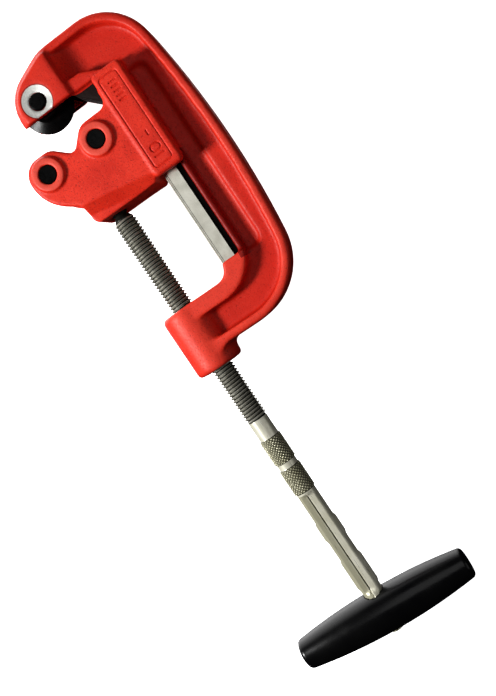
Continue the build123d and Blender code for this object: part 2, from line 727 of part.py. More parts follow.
def retainer(side):
    """A pin across the socket, lying in the screw's groove; blind from the rear."""
    y = side * (GROOVE_RADIUS + RETAINER_RADIUS + RETAINER_GAP)
    x = GROOVE_X + GROOVE_LENGTH / 2
    return post(x, y, RETAINER_RADIUS, PIN_RECESS - FOOT_HALF, RETAINER_HALF)


def screw_retainers():
    """The two pins that let the screw pull the housing back."""
    return Compound(children=[retainer(side) for side in (1, -1)])


def thrust_ball():
    """The hardened ball that the screw pushes on."""
    return Pos(SOCKET_X + BALL_RADIUS + BALL_GAP, 0, 0) * Sphere(BALL_RADIUS)


# ---- feed screw -------------------------------------------------------------

def thread_profile():
    """The thread's crests and roots, as rings at the pitch."""
    root = THREAD_RADIUS - THREAD_DEPTH
    flat = THREAD_PITCH / 8
    flank = THREAD_PITCH / 2 - flat
    points = [(THREAD_START_X, root)]
    count = int((THREAD_END_X - THREAD_START_X) / THREAD_PITCH)
    for turn in range(count):
        x = THREAD_START_X + turn * THREAD_PITCH
        points += [
            (x + flank, THREAD_RADIUS),
            (x + flank + flat, THREAD_RADIUS),
            (x + 2 * flank + flat, root),
            (x + THREAD_PITCH, root),
        ]
    return points


def shank_profile():
    """The plain shank with its two raised knurled bands, up to the tenon."""
    edge = KNURL_CHAMFER
    points = [(THREAD_END_X, SHANK_RADIUS)]
    for x_low, x_high in KNURL_BANDS:
        points += [
            (x_low, SHANK_RADIUS),
            (x_low + edge, KNURL_RADIUS),
            (x_high - edge, KNURL_RADIUS),
            (x_high, SHANK_RADIUS),
        ]
    points.append((TENON_X, SHANK_RADIUS))
    return points


def feed_screw():
    """The screw: bearing nose, thread, knurled shank with ears, riveted tenon."""
    groove_end = GROOVE_X + GROOVE_LENGTH
    profile = [
        (NOSE_X + NOSE_CUP_DEPTH, 0),
        (NOSE_X, NOSE_CUP_RADIUS),
        (NOSE_X, NECK_RADIUS - NOSE_CHAMFER),
        (NOSE_X + NOSE_CHAMFER, NECK_RADIUS),
        (GROOVE_X, NECK_RADIUS),
        (GROOVE_X, GROOVE_RADIUS),
        (groove_end, GROOVE_RADIUS),
        (groove_end, NECK_RADIUS),
        (FOOT_END_X, NECK_RADIUS),
        (FOOT_END_X + NECK_RUN, NECK_WAIST_RADIUS),
    ]
    profile += thread_profile()
    profile += shank_profile()
    profile += [
        (TENON_X, TENON_RADIUS),
        (TENON_END_X, TENON_RADIUS),
        (TENON_END_X, TENON_RADIUS + RIVET_FLARE),
        (RIVET_END_X, TENON_RADIUS),
        (RIVET_END_X, 0),
    ]
    screw = spun(profile, Axis.X)
    for x_low, x_high in EAR_ZONES:
        screw += box_between(
            (x_low, -EAR_HALF_WIDTH, -EAR_HALF_HEIGHT), (x_high, EAR_HALF_WIDTH, EAR_HALF_HEIGHT)
        )
    groove = box_between(
        (SHANK_GROOVE_X, -SHANK_GROOVE_HALF, SHANK_FLAT_HALF - SHANK_GROOVE_HALF),
        (SHANK_FLAT_END_X, SHANK_GROOVE_HALF, SHANK_RADIUS + 1),
    )
    flats = both_sides(
        rectangle(SHANK_GROOVE_X, SHANK_FLAT_END_X, -SHANK_RADIUS, SHANK_RADIUS),
        SHANK_FLAT_HALF, SHANK_RADIUS + 1,
    )
    return screw - groove - flats - handle_cross_pin()


def feed_nut():
    """The threaded bush pressed into the frame's boss."""
    return rod(THROAT_END_X, BOSS_END_X, NUT_RADIUS) - rod(
        THROAT_END_X - 1, BOSS_END_X + 1, NUT_BORE_RADIUS
    )


# ---- T handle ---------------------------------------------------------------

def hexagon_hub():
    """The outer shape of the steel hub."""
    hexagon = Plane.YZ.offset(INSERT_START_X) * RegularPolygon(
        INSERT_ACROSS_FLATS / 2, 6, major_radius=False
    )
    return extrude(hexagon, amount=TENON_X - INSERT_START_X)


def handle_insert():
    """The hexagonal steel hub moulded into the handle, fixed on the shank."""
    bore = rod(INSERT_START_X - 1, TENON_X + 1, SHANK_RADIUS)
    return hexagon_hub() - bore - handle_cross_pin()


def handle_cross_pin():
    """The pin that locks the hub to the shank."""
    middle = (INSERT_START_X + TENON_X) / 2
    return post(middle, 0, CROSS_PIN_RADIUS, -CROSS_PIN_HALF, CROSS_PIN_HALF)


def handle_washer():
    """The washer under the riveted end of the shank."""
    return rod(TENON_END_X - WASHER_THICKNESS, TENON_END_X, WASHER_RADIUS) - rod(
        TENON_X, RIVET_END_X, TENON_RADIUS
    )


def handle_barrel():
    """The barrel: a long arc for its flank, round corners and slightly domed ends."""
    end_y = HANDLE_HALF_LENGTH
    dome_y = end_y - HANDLE_CROWN
    corner_y = end_y - HANDLE_CORNER
    lip = HANDLE_END_RADIUS - HANDLE_CORNER
    diagonal = HANDLE_CORNER * (1 - sqrt(0.5))
    shoulder_x = HANDLE_END_RADIUS - diagonal
    shoulder_y = end_y - diagonal
    profile = outline(
        Line((0, -end_y), (0, end_y)),
        Line((0, end_y), (lip, dome_y)),
        ThreePointArc((lip, dome_y), (shoulder_x, shoulder_y), (HANDLE_END_RADIUS, corner_y)),
        ThreePointArc((HANDLE_END_RADIUS, corner_y), (HANDLE_RADIUS, 0), (HANDLE_END_RADIUS, -corner_y)),
        ThreePointArc((HANDLE_END_RADIUS, -corner_y), (shoulder_x, -shoulder_y), (lip, -dome_y)),
        Line((lip, -dome_y), (0, -end_y)),
    )
    return revolve(profile, axis=Axis.Y)


def handle_grip():
    """The barrel-shaped moulded T handle, with the seats of the hub and the washer."""
    grip = Pos(HANDLE_X, 0, 0) * handle_barrel()
    grip -= rod(HANDLE_X - HANDLE_RADIUS - 1, INSERT_START_X, SHANK_RADIUS)
    grip -= hexagon_hub()
    grip -= rod(TENON_X, RIVET_END_X + 1, TENON_RADIUS)
    grip -= rod(TENON_END_X - WASHER_THICKNESS, RIVET_END_X + 1, WASHER_RADIUS)
    return grip


# ---- export -----------------------------------------------------------------

def parts():
    """Every part of the tool, by name."""
    return {
        "frame": frame(),
        "guide_rail": guide_rail(),
        "rail_screws": rail_screws(),
        "feed_nut": feed_nut(),
        "cutter_wheel": cutter_wheel(),
        "cutter_wheel_pin": cutter_wheel_pin(),
        "cutter_pin_ring": cutter_pin_ring(),
        "roller_housing": roller_housing(),
        "upper_roller": roller(ROLLER_Y),
        "lower_roller": roller(-ROLLER_Y),
        "upper_roller_pin": roller_pin(ROLLER_Y),
        "lower_roller_pin": roller_pin(-ROLLER_Y),
        "roller_pin_rings": roller_pin_rings(),
        "thrust_ball": thrust_ball(),
        "screw_retainers": screw_retainers(),
        "feed_screw": feed_screw(),
        "handle_grip": handle_grip(),
        "handle_insert": handle_insert(),
        "handle_cross_pin": handle_cross_pin(),
        "handle_washer": handle_washer(),
    }


os.makedirs("parts", exist_ok=True)
for name, shape in parts().items():
    export_step(Pos(*SHIFT) * shape, f"parts/{name}.step")
    print(name, len(shape.solids()), round(shape.volume), flush=True)
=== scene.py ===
"""Looks of the pipe cutter: cast and moulded skins, a cut thread, a knurled shank, paint and metal.

All lengths below are in millimetres in the bench frame, whose origin is the middle of the cutter
wheel, with +X towards the handle, +Y towards the frame's spine and +Z up. at() turns them into
metres in the row frame.
"""

import math

import bmesh
import bpy
import numpy as np
from mathutils import Matrix, Vector


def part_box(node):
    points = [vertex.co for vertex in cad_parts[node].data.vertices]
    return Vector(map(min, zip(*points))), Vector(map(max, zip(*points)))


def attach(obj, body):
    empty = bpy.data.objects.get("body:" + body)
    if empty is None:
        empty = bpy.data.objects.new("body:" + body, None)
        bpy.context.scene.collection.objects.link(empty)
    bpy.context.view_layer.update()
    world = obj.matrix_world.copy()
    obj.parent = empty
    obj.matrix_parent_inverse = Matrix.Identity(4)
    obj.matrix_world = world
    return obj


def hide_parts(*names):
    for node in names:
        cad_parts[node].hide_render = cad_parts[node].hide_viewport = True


MM = 0.001

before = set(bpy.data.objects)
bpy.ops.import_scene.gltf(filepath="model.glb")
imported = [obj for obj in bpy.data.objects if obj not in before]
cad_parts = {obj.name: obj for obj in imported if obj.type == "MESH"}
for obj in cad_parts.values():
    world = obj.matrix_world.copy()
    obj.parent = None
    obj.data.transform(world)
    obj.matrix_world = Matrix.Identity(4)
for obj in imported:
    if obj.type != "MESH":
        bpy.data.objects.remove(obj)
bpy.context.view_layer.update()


def middle(node):
    """The centre of a CAD node's box."""
    low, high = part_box(node)
    return (low + high) / 2


BENCH = middle("cutter_wheel")
TAU = 2 * math.pi

# castings and moulding: voxel sizes and smoothing passes
FRAME_VOXEL = 0.75
HOUSING_VOXEL = 0.6
GRIP_VOXEL = 0.6
FRAME_PASSES = 24
HOUSING_PASSES = 9
GRIP_PASSES = 4
SMOOTHING = 0.5
PARTING_HALF = 0.7
PARTING_RISE = 0.16

# machined faces of the hook, a painted shadow ring round the spot face, and the hook's mouth, oiled and
# darkened as painted shade
SPOT_FACE_RADIUS = 8.5
SPOT_FACE_Z = 13.9
SPOT_FACE_BLUR = 0.15
RING_SHADOW_INSIDE = 0.1
RING_SHADOW_OUTSIDE = 0.5
RING_SHADOW_DEPTH = 1.5
TURNING_RATE = 14.0
SLOT_RADIUS = 17.3
SLOT_HALF = 9.9
SLOT_REAR_Z = -12.9
MOUTH_X = (6.6, 25.0)
MOUTH_Y = (0.0, 33.0)

# zones of the castings: distances from the middle plane, and stretches along X and Y; painted shade on the
# web and the land, painted highlight on the rim and on the bosses' tops
WEB_Z = (7.0, 11.0)
RIM_Z = (11.6, 12.9)
RIM_HIGHLIGHT_X = (15.0, 45.0)
HOOK_PAD_X = (15.0, 30.0)
BOSS_TOP_Z = 19.7
BOSS_HIGHLIGHT_RISE = 0.4
LAND_X = (60.0, 126.0)
LAND_Y = (43.0, 50.0)
LAND_FADE = 3.0

# guide rail and ground steel
SCRATCH_STRETCH = 0.05
PIT_SHADE = 0.55
RAIL_HEAD_Y = 40.6
RAIL_LINES = (33.3, 34.2)
RAIL_LINE_HALF = 0.14

# engraved panel on the housing's front plate
PANEL_LOW = (11.6, 32.9)
PANEL_HIGH = (64.4, 43.7)
PANEL_CORNER = 1.8
PANEL_LINE = 0.45
PANEL_DEPTH = 0.42
PANEL_EDGE = 1.35
PANEL_MARGIN = 1.0
PLATE_SKIN = 0.6
STROKES = (
    ((15.8, 37.0), (15.8, 40.8)), ((18.4, 37.0), (18.4, 40.8)), ((21.0, 37.0), (21.0, 40.8)),
    ((23.6, 37.0), (23.6, 40.8)), ((26.2, 37.0), (26.2, 40.8)), ((45.8, 39.3), (48.4, 39.3)),
    ((59.6, 36.0), (59.6, 41.6)),
)
LOOP_MIDDLE = (55.4, 38.8)
LOOP_HALF = (1.8, 2.8)

# feed screw: thread, as (share of a turn, radius) pairs, and bearing end, as (x, radius) pairs
PITCH = 1.954
CREST_RADIUS = 6.35
ROOT_RADIUS = 5.2
THREAD_START = 72.5
THREAD_END = 202.3
THREAD_PROFILE = ((0.0, ROOT_RADIUS), (0.37, CREST_RADIUS), (0.50, CREST_RADIUS), (0.87, ROOT_RADIUS))
FLANK_FROM_ROOT = (0.2, 0.5)
FLANK_TO_CREST = (0.2, 0.05)
RUN_OUT = 2.2
THREAD_COLUMNS = 72
THREAD_SHARP = 40
OVERLAP = 0.2
MERGE_DISTANCE = 0.002
NOSE_PROFILE = (
    (56.0, 2.6), (56.0, 3.8), (56.5, 4.3), (61.0, 4.3), (61.0, 3.0), (65.0, 3.0),
    (65.0, 4.3), (69.0, 4.3), (69.8, 3.5), (THREAD_START + OVERLAP, ROOT_RADIUS),
)
NOSE_COLUMNS = 48
NOSE_SHARP = 30

# shank: knurled bands, flats, ears, seam, tenon and riveted end
SHANK_RADIUS = 5.65
SHANK_COLUMNS = 192
SHANK_STEP = 1.0
SHANK_SHARP = 35
KNURL_BANDS = ((213.8, 229.7), (233.0, 249.0))
BAND_BEFORE = 1.0
BAND_AFTER = 0.5
BAND_EDGE = 0.6
KNURL_RADIUS = 6.4
KNURL_DEPTH = 0.55
KNURL_COUNT = 19
KNURL_PITCH = 1.9
KNURL_STEPS = 10
KNURL_SLOPE = 0.75
EAR_ZONES = ((269.0, 279.0), (294.0, 311.0))
EAR_HEIGHT = 0.8
EAR_EDGE = 1.5
EAR_POWER = 20
PRESSED_X = 250.0
PRESSED_EDGE = 2.0
FLAT_X = (252.0, 313.0)
FLAT_HALF = 4.2
LEAST_STEEPNESS = 0.5
SEAM_X = (252.0, 317.0)
SEAM_HALF = 0.6
SEAM_DEPTH = 0.55
SEAM_SHADE_SHARE = 0.7
SEAM_LIP = 0.1
KNURL_UNSHADED_TIP = 0.08
SHADED_SIDE_Y = (-1.2, 0.3)
SEAM_DRAFT = 1.6
TENON_X = 333.0
TENON_RADIUS = 3.0
RIVET_X = 339.0
RIVET_RADIUS = 3.8
RIVET_TOP_RADIUS = 2.2
RIVET_END = 340.75
RIVET_EDGE = 0.2
TENON_PROFILE = (
    (TENON_X, TENON_RADIUS), (RIVET_X, TENON_RADIUS), (RIVET_X, RIVET_RADIUS),
    (RIVET_END - RIVET_EDGE, RIVET_RADIUS), (RIVET_END, RIVET_TOP_RADIUS),
)

# colours of the paint
RED = (0.74, 0.042, 0.019)
DEEP_RED = (0.60, 0.026, 0.011)
GRAIN_RED = (0.40, 0.008, 0.004)
FLECK_RED = (0.90, 0.30, 0.22)
PIT_RED = (0.20, 0.006, 0.004)
# painted shade in concave creases
CREASE_SHADE_RED = (0.22, 0.006, 0.004)
EDGE_RED = (0.84, 0.10, 0.055)
# painted shade on the frame's web
WEB_SHADE_RED = (0.42, 0.011, 0.003)
# painted highlight on the rim's top
RIM_HIGHLIGHT_RED = (0.84, 0.12, 0.08)
PAD_RED = (0.42, 0.014, 0.006)
# painted highlight on the bosses' tops
BOSS_HIGHLIGHT_RED = (0.74, 0.14, 0.10)
# painted shade on the land beside the rail
LAND_SHADE_RED = (0.17, 0.003, 0.002)
# painted shadow ring round the spot face
RING_SHADOW_RED = (0.09, 0.004, 0.003)
# oil and painted shade in the hook's mouth
OIL_AND_SHADE_RED = (0.010, 0.004, 0.003)

# colours of the metals and the plastic, each with its stains
BARE_IRON = ((0.62, 0.62, 0.59), (0.50, 0.50, 0.47))
RAIL_STEEL = ((0.68, 0.67, 0.59), (0.50, 0.49, 0.42))
HIDDEN_STEEL = ((0.42, 0.42, 0.39), (0.30, 0.30, 0.28))
FLANK_STEEL = ((0.58, 0.57, 0.50), (0.40, 0.39, 0.33))
ZINC = ((0.82, 0.80, 0.68), (0.66, 0.64, 0.50))
OXIDE = ((0.0016, 0.0018, 0.0018), (0.005, 0.005, 0.005))
PLASTIC = ((0.003, 0.003, 0.0035), (0.005, 0.005, 0.005))
# painted shade: the rail's head is black
RAIL_HEAD_SHADE = (0.012, 0.010, 0.009)
RAIL_LINE_GREY = (0.05, 0.05, 0.045)
THREAD_BLACK = (0.022, 0.022, 0.018)
ZINC_STREAK = (0.45, 0.43, 0.31)
# painted shade on the flats' mouth side
SHADED_ZINC = (0.36, 0.345, 0.23)
OLIVE_ZINC = (0.34, 0.32, 0.17)
# painted shade in the knurls' grooves and in the seam
KNURL_GROOVE_SHADE = (0.03, 0.028, 0.012)
SEAM_SHADE = (0.07, 0.065, 0.035)
SCUFF = (0.03, 0.03, 0.03)

# camera; floor, as (radius, height) pairs in metres; lamps; air
CAMERA_POINT = (151.45, 96.18, 443.83)
TARGET_POINT = (167.15, 17.37, 0.0)
CAMERA_ROLL = 0.987
CAMERA_LENS = 43.36
FLOOR_PROFILE = ((2.4, 0.0), (2.65, 0.04), (2.85, 0.16), (2.96, 0.35), (3.0, 0.6), (3.0, 4.0))
FLOOR_COLUMNS = 64
FLOOR_GLOW = 0.93
# name, direction from the tool, distance and size in metres, watts
LAMPS = (
    ("key", (-0.16, -0.80, 0.60), 1.1, 0.22, 15.0),
    ("fill", (-0.35, 0.1, 1.0), 1.2, 0.8, 2.1),
    ("back", (0.25, 0.85, 0.42), 1.2, 0.8, 1.5),
)
AIR_DIRECTION = (-0.75, -0.35, -0.56)
AIR_SPAN = (0.58, 1.0)
AIR_STRENGTH = (0.008, 3.4)


def at(x, y, z):
    """A bench point in the row frame, in metres."""
    return BENCH + Vector((x, y, z)) * MM


# ---- materials ----------------------------------------------------------------


def add(tree, kind, inputs=None, **settings):
    """A shader node with its settings and inputs; an input may be another node's socket."""
    made = tree.nodes.new("ShaderNode" + kind)
    for name, value in settings.items():
        setattr(made, name, value)
    for name, value in (inputs or {}).items():
        if isinstance(value, bpy.types.NodeSocket):
            tree.links.new(value, made.inputs[name])
        else:
            made.inputs[name].default_value = value
    return made


def new_material(name):
    """An empty Principled material, its tree and its shader."""
    material = bpy.data.materials.new(name)
    material.use_nodes = True
    tree = material.node_tree
    return material, tree, tree.nodes["Principled BSDF"]


def millimetres(tree, stretch=(1, 1, 1)):
    """The surface point in millimetres in the bench frame, stretched along each axis."""
    coords = add(tree, "TexCoord").outputs["Object"]
    moved = add(tree, "VectorMath", {0: coords, 1: BENCH}, operation="SUBTRACT")
    scale = [s / MM for s in stretch]
    return add(tree, "VectorMath", {0: moved.outputs[0], 1: scale}, operation="MULTIPLY").outputs[0]


def noise(tree, point, scale, detail=4.0, rough=0.55):
    """A noise value around 0.5; scale is in features per millimetre."""
    made = add(tree, "TexNoise", {"Vector": point, "Scale": scale, "Detail": detail, "Roughness": rough})
    return made.outputs[0]


def span(tree, value, low, high, out_low=0.0, out_high=1.0):
    """The value's stretch from low to high, mapped to out_low to out_high and clamped."""
    made = add(tree, "MapRange", {0: value, 1: low, 2: high, 3: out_low, 4: out_high})
    made.clamp = True
    return made.outputs[0]


def calc(tree, operation, first, second=0.0):
    """One arithmetic step."""
    return add(tree, "Math", {0: first, 1: second}, operation=operation).outputs[0]


def blend_colour(tree, share, first, second):
    """A mix of two colours."""
    made = tree.nodes.new("ShaderNodeMix")
    made.data_type = "RGBA"
    for socket, value in ((made.inputs[0], share), (made.inputs[6], first), (made.inputs[7], second)):
        if isinstance(value, bpy.types.NodeSocket):
            tree.links.new(value, socket)
        elif isinstance(value, float):
            socket.default_value = value
        else:
            socket.default_value = (*value, 1.0)
    return made.outputs[2]


def bump(tree, height, depth, strength, below=None):
    """A bump of the given depth in millimetres, over the bump below it."""
    inputs = {"Height": height, "Distance": depth * MM, "Strength": strength}
    if below is not None:
        inputs["Normal"] = below
    return add(tree, "Bump", inputs).outputs[0]


def connect(tree, shader, **sockets):
    """Link values to the shader's inputs; underscores stand for spaces."""
    for name, value in sockets.items():
        socket = shader.inputs[name.replace("_", " ")]
        if isinstance(value, bpy.types.NodeSocket):
            tree.links.new(value, socket)
        else:
            socket.default_value = value


def between(tree, value, low, high):
    """1 where the value lies between low and high, else 0."""
    over = calc(tree, "GREATER_THAN", value, low)
    return calc(tree, "MULTIPLY", over, calc(tree, "LESS_THAN", value, high))


def axis_distance(tree, first, second):
    """How far a point is from an axis, from its two coordinates across the axis."""
    squares = [calc(tree, "POWER", value, 2.0) for value in (first, second)]
    return calc(tree, "SQRT", calc(tree, "ADD", *squares))


def machined_faces(tree, point):
    """Where the hook's spot face is bare, its mouth oiled and darkened as painted shade, and a painted
    shadow ring round the face; turning marks.
    """
    x, y, z = add(tree, "SeparateXYZ", {0: point}).outputs
    height = calc(tree, "ABSOLUTE", z)
    radius = axis_distance(tree, x, y)
    inside = span(tree, radius, SPOT_FACE_RADIUS - SPOT_FACE_BLUR, SPOT_FACE_RADIUS, 1.0, 0.0)
    bare = calc(tree, "MULTIPLY", inside, calc(tree, "GREATER_THAN", height, SPOT_FACE_Z))
    rings = calc(tree, "SINE", calc(tree, "MULTIPLY", radius, TURNING_RATE))
    mouth = calc(tree, "MULTIPLY", between(tree, x, *MOUTH_X), between(tree, y, *MOUTH_Y))
    mouth = calc(tree, "MULTIPLY", mouth, between(tree, z, SLOT_REAR_Z, SLOT_HALF))
    near_wheel = calc(tree, "LESS_THAN", radius, SLOT_RADIUS)
    slot = calc(tree, "MULTIPLY", near_wheel, calc(tree, "LESS_THAN", height, SLOT_HALF))
    oil_and_shade = calc(tree, "MAXIMUM", mouth, slot)
    rim = between(tree, radius, SPOT_FACE_RADIUS - RING_SHADOW_INSIDE, SPOT_FACE_RADIUS + RING_SHADOW_OUTSIDE)
    ring_shadow = calc(tree, "MULTIPLY", rim, calc(tree, "GREATER_THAN", height, SPOT_FACE_Z - RING_SHADOW_DEPTH))
    return bare, oil_and_shade, ring_shadow, calc(tree, "MULTIPLY", rings, bare)


def painted_casting(name, is_frame):
    """Red enamel over a sand casting with painted shade in its creases; the frame gets its machined faces
    and painted shade and highlights, the housing a painted highlight on its bosses.
    """
    material, tree, shader = new_material(name)
    point = millimetres(tree)
    patches = span(tree, noise(tree, point, 0.07, 3.0), 0.35, 0.7)
    colour = blend_colour(tree, patches, RED, DEEP_RED)
    grain = noise(tree, point, 1.1, 5.0, 0.6)
    colour = blend_colour(tree, span(tree, grain, 0.52, 0.68, 0.0, 0.55), colour, GRAIN_RED)
    flecks = noise(tree, point, 2.3, 2.0, 0.5)
    colour = blend_colour(tree, span(tree, flecks, 0.71, 0.76, 0.0, 0.7), colour, FLECK_RED)
    pits = span(tree, noise(tree, point, 1.7, 1.0, 0.4), 0.27, 0.34, 0.85, 0.0)
    colour = blend_colour(tree, pits, colour, PIT_RED)
    pointed = add(tree, "NewGeometry").outputs["Pointiness"]
    # painted shade: darker in concave creases
    colour = blend_colour(tree, span(tree, pointed, 0.44, 0.485, 0.7, 0.0), colour, CREASE_SHADE_RED)
    colour = blend_colour(tree, span(tree, pointed, 0.52, 0.60, 0.0, 0.5), colour, EDGE_RED)
    rough = span(tree, grain, 0.3, 0.75, 0.40, 0.58)
    coarse = bump(tree, noise(tree, point, 0.35, 2.0), 0.25, 0.5)
    normal = bump(tree, pits, -0.12, 0.8, bump(tree, grain, 0.12, 0.9, coarse))
    metal = 0.0
    x, y, z = add(tree, "SeparateXYZ", {0: point}).outputs
    height = calc(tree, "ABSOLUTE", z)
    if is_frame:
        # painted shade: the web, low between the rims, is darker
        colour = blend_colour(tree, span(tree, height, *WEB_Z, 0.5, 0.0), colour, WEB_SHADE_RED)
        # painted highlight: the rim's top is lighter along the hook
        painted_highlight = calc(tree, "MULTIPLY", span(tree, height, *RIM_Z, 0.0, 0.22), span(tree, x, *RIM_HIGHLIGHT_X))
        colour = blend_colour(tree, painted_highlight, colour, RIM_HIGHLIGHT_RED)
        on_pad = span(tree, x, *HOOK_PAD_X, 1.0, 0.0)
        darker = calc(tree, "MULTIPLY", span(tree, height, *RIM_Z, 0.0, 0.35), on_pad)
        colour = blend_colour(tree, darker, colour, PAD_RED)
        # painted shade: the land beside the rail is darker
        land_shade = calc(tree, "MULTIPLY", between(tree, x, *LAND_X), calc(tree, "GREATER_THAN", y, LAND_Y[0]))
        land_shade = calc(tree, "MULTIPLY", land_shade, span(tree, y, LAND_Y[1] - LAND_FADE, LAND_Y[1], 0.8, 0.0))
        colour = blend_colour(tree, land_shade, colour, LAND_SHADE_RED)
        bare, oil_and_shade, ring_shadow, rings = machined_faces(tree, point)
        bright = blend_colour(tree, span(tree, grain, 0.4, 0.7), *BARE_IRON)
        colour = blend_colour(tree, bare, colour, bright)
        # painted shadow: a dark ring round the spot face
        colour = blend_colour(tree, calc(tree, "MULTIPLY", ring_shadow, 0.65), colour, RING_SHADOW_RED)
        # oil and painted shade: the hook's mouth is near black
        colour = blend_colour(tree, oil_and_shade, colour, OIL_AND_SHADE_RED)
        rough = calc(tree, "ADD", rough, calc(tree, "MULTIPLY", oil_and_shade, 0.35))
        normal = bump(tree, rings, 0.02, 0.6, normal)
        metal = calc(tree, "MULTIPLY", bare, 0.3)
    else:
        # painted highlight: the bosses' tops are lighter
        painted_highlight = span(tree, height, BOSS_TOP_Z, BOSS_TOP_Z + BOSS_HIGHLIGHT_RISE, 0.0, 0.45)
        colour = blend_colour(tree, painted_highlight, colour, BOSS_HIGHLIGHT_RED)
    connect(tree, shader, Base_Color=colour, Roughness=rough, Normal=normal, Metallic=metal)
    connect(tree, shader, IOR=1.45, Specular_IOR_Level=0.32)
    return material


def ground_steel(name, colours, along, roughness, dark_above=None):
    """Steel ground along one axis, stained; a rail is painted black above a height on Y as painted shade,
    with fine lines.
    """
    material, tree, shader = new_material(name)
    stretch = [1.0, 1.0, 1.0]
    stretch[along] = SCRATCH_STRETCH
    scratches = noise(tree, millimetres(tree, stretch=stretch), 6.0, 3.0, 0.7)
    stains = noise(tree, millimetres(tree), 0.12, 4.0)
    pits = noise(tree, millimetres(tree), 2.2, 3.0, 0.7)
    colour = blend_colour(tree, span(tree, stains, 0.35, 0.7), *colours)
    pitted = [c * PIT_SHADE for c in colours[1]]
    colour = blend_colour(tree, span(tree, pits, 0.58, 0.72, 0.0, 0.45), colour, pitted)
    if dark_above is not None:
        y = add(tree, "SeparateXYZ", {0: millimetres(tree)}).outputs[1]
        # painted shade: the rail is black above its head
        colour = blend_colour(tree, calc(tree, "GREATER_THAN", y, dark_above), colour, RAIL_HEAD_SHADE)
        for line in RAIL_LINES:
            lined = between(tree, y, line - RAIL_LINE_HALF, line + RAIL_LINE_HALF)
            colour = blend_colour(tree, lined, colour, RAIL_LINE_GREY)
    rough = span(tree, scratches, 0.3, 0.7, roughness - 0.08, roughness + 0.1)
    normal = bump(tree, scratches, 0.02, 0.5, bump(tree, pits, 0.03, 0.4))
    connect(tree, shader, Base_Color=colour, Metallic=0.9, Roughness=rough, Normal=normal)
    return material


def screw_steel(name):
    """Oiled dark steel, black on the thread's crests and in its roots, bright on its flanks as wear and a
    painted highlight.
    """
    material, tree, shader = new_material(name)
    point = millimetres(tree)
    _, y, z = add(tree, "SeparateXYZ", {0: point}).outputs
    radius = axis_distance(tree, y, z)
    stains = noise(tree, point, 0.15, 4.0)
    grain = noise(tree, point, 3.0, 3.0, 0.7)
    flank = blend_colour(tree, span(tree, stains, 0.35, 0.65), *FLANK_STEEL)
    out_of_root = span(tree, radius, *(ROOT_RADIUS + rise for rise in FLANK_FROM_ROOT))
    below_crest = span(tree, radius, *(CREST_RADIUS - drop for drop in FLANK_TO_CREST), 1.0, 0.25)
    # wear and painted highlight: the thread's flanks are bright
    painted_highlight = calc(tree, "MULTIPLY", out_of_root, below_crest)
    colour = blend_colour(tree, painted_highlight, THREAD_BLACK, flank)
    rough = span(tree, grain, 0.3, 0.7, 0.42, 0.62)
    connect(tree, shader, Base_Color=colour, Metallic=0.65, Roughness=rough)
    connect(tree, shader, Normal=bump(tree, grain, 0.02, 0.5))
    return material


def zinc_plate(name):
    """Yellowish zinc plate, olive in the knurls, with painted shade in the knurls' grooves, in the seam and
    on the flats' mouth side.
    """
    material, tree, shader = new_material(name)
    point = millimetres(tree)
    x, y, z = add(tree, "SeparateXYZ", {0: point}).outputs
    stains = noise(tree, point, 0.10, 5.0)
    streaks = noise(tree, millimetres(tree, stretch=(0.12, 1, 1)), 0.9, 4.0)
    colour = blend_colour(tree, span(tree, stains, 0.35, 0.7), *ZINC)
    colour = blend_colour(tree, span(tree, streaks, 0.5, 0.72, 0.0, 0.5), colour, ZINC_STREAK)
    pressed = calc(tree, "GREATER_THAN", x, PRESSED_X)
    # painted shade: the flats' mouth side is darker
    shaded_side = calc(tree, "MULTIPLY", pressed, span(tree, y, *SHADED_SIDE_Y, 0.75, 0.0))
    colour = blend_colour(tree, shaded_side, colour, SHADED_ZINC)
    in_knurl = 0.0
    for low, high in KNURL_BANDS:
        in_knurl = calc(tree, "ADD", between(tree, x, low, high), in_knurl)
    radius = axis_distance(tree, y, z)
    olive = blend_colour(tree, 0.55, colour, OLIVE_ZINC)
    colour = blend_colour(tree, in_knurl, colour, olive)
    # painted shade: darker in the knurls' grooves
    deep = span(tree, radius, KNURL_RADIUS - KNURL_DEPTH, KNURL_RADIUS - KNURL_UNSHADED_TIP, 0.95, 0.0)
    colour = blend_colour(tree, calc(tree, "MULTIPLY", in_knurl, deep), colour, KNURL_GROOVE_SHADE)
    height = calc(tree, "ABSOLUTE", z)
    # painted shade: darker in the seam
    sunk = span(tree, height, FLAT_HALF - SEAM_DEPTH * SEAM_SHADE_SHARE, FLAT_HALF - SEAM_LIP, 0.95, 0.0)
    near = calc(tree, "LESS_THAN", calc(tree, "ABSOLUTE", y), SEAM_HALF)
    shaded = calc(tree, "MULTIPLY", calc(tree, "MULTIPLY", sunk, near), pressed)
    colour = blend_colour(tree, shaded, colour, SEAM_SHADE)
    rough = span(tree, streaks, 0.3, 0.7, 0.24, 0.42)
    connect(tree, shader, Base_Color=colour, Metallic=0.35, Roughness=rough)
    connect(tree, shader, Normal=bump(tree, streaks, 0.03, 0.5))
    return material


def black_oxide(name):
    """Hardened, blackened steel with faint stains and a fine grain."""
    material, tree, shader = new_material(name)
    point = millimetres(tree)
    stains = noise(tree, point, 0.35, 4.0)
    grain = noise(tree, point, 3.0, 3.0, 0.7)
    colour = blend_colour(tree, span(tree, stains, 0.35, 0.7), *OXIDE)
    rough = span(tree, grain, 0.3, 0.7, 0.20, 0.34)
    connect(tree, shader, Base_Color=colour, Roughness=rough, Specular_IOR_Level=0.09)
    connect(tree, shader, Normal=bump(tree, grain, 0.03, 0.5))
    return material


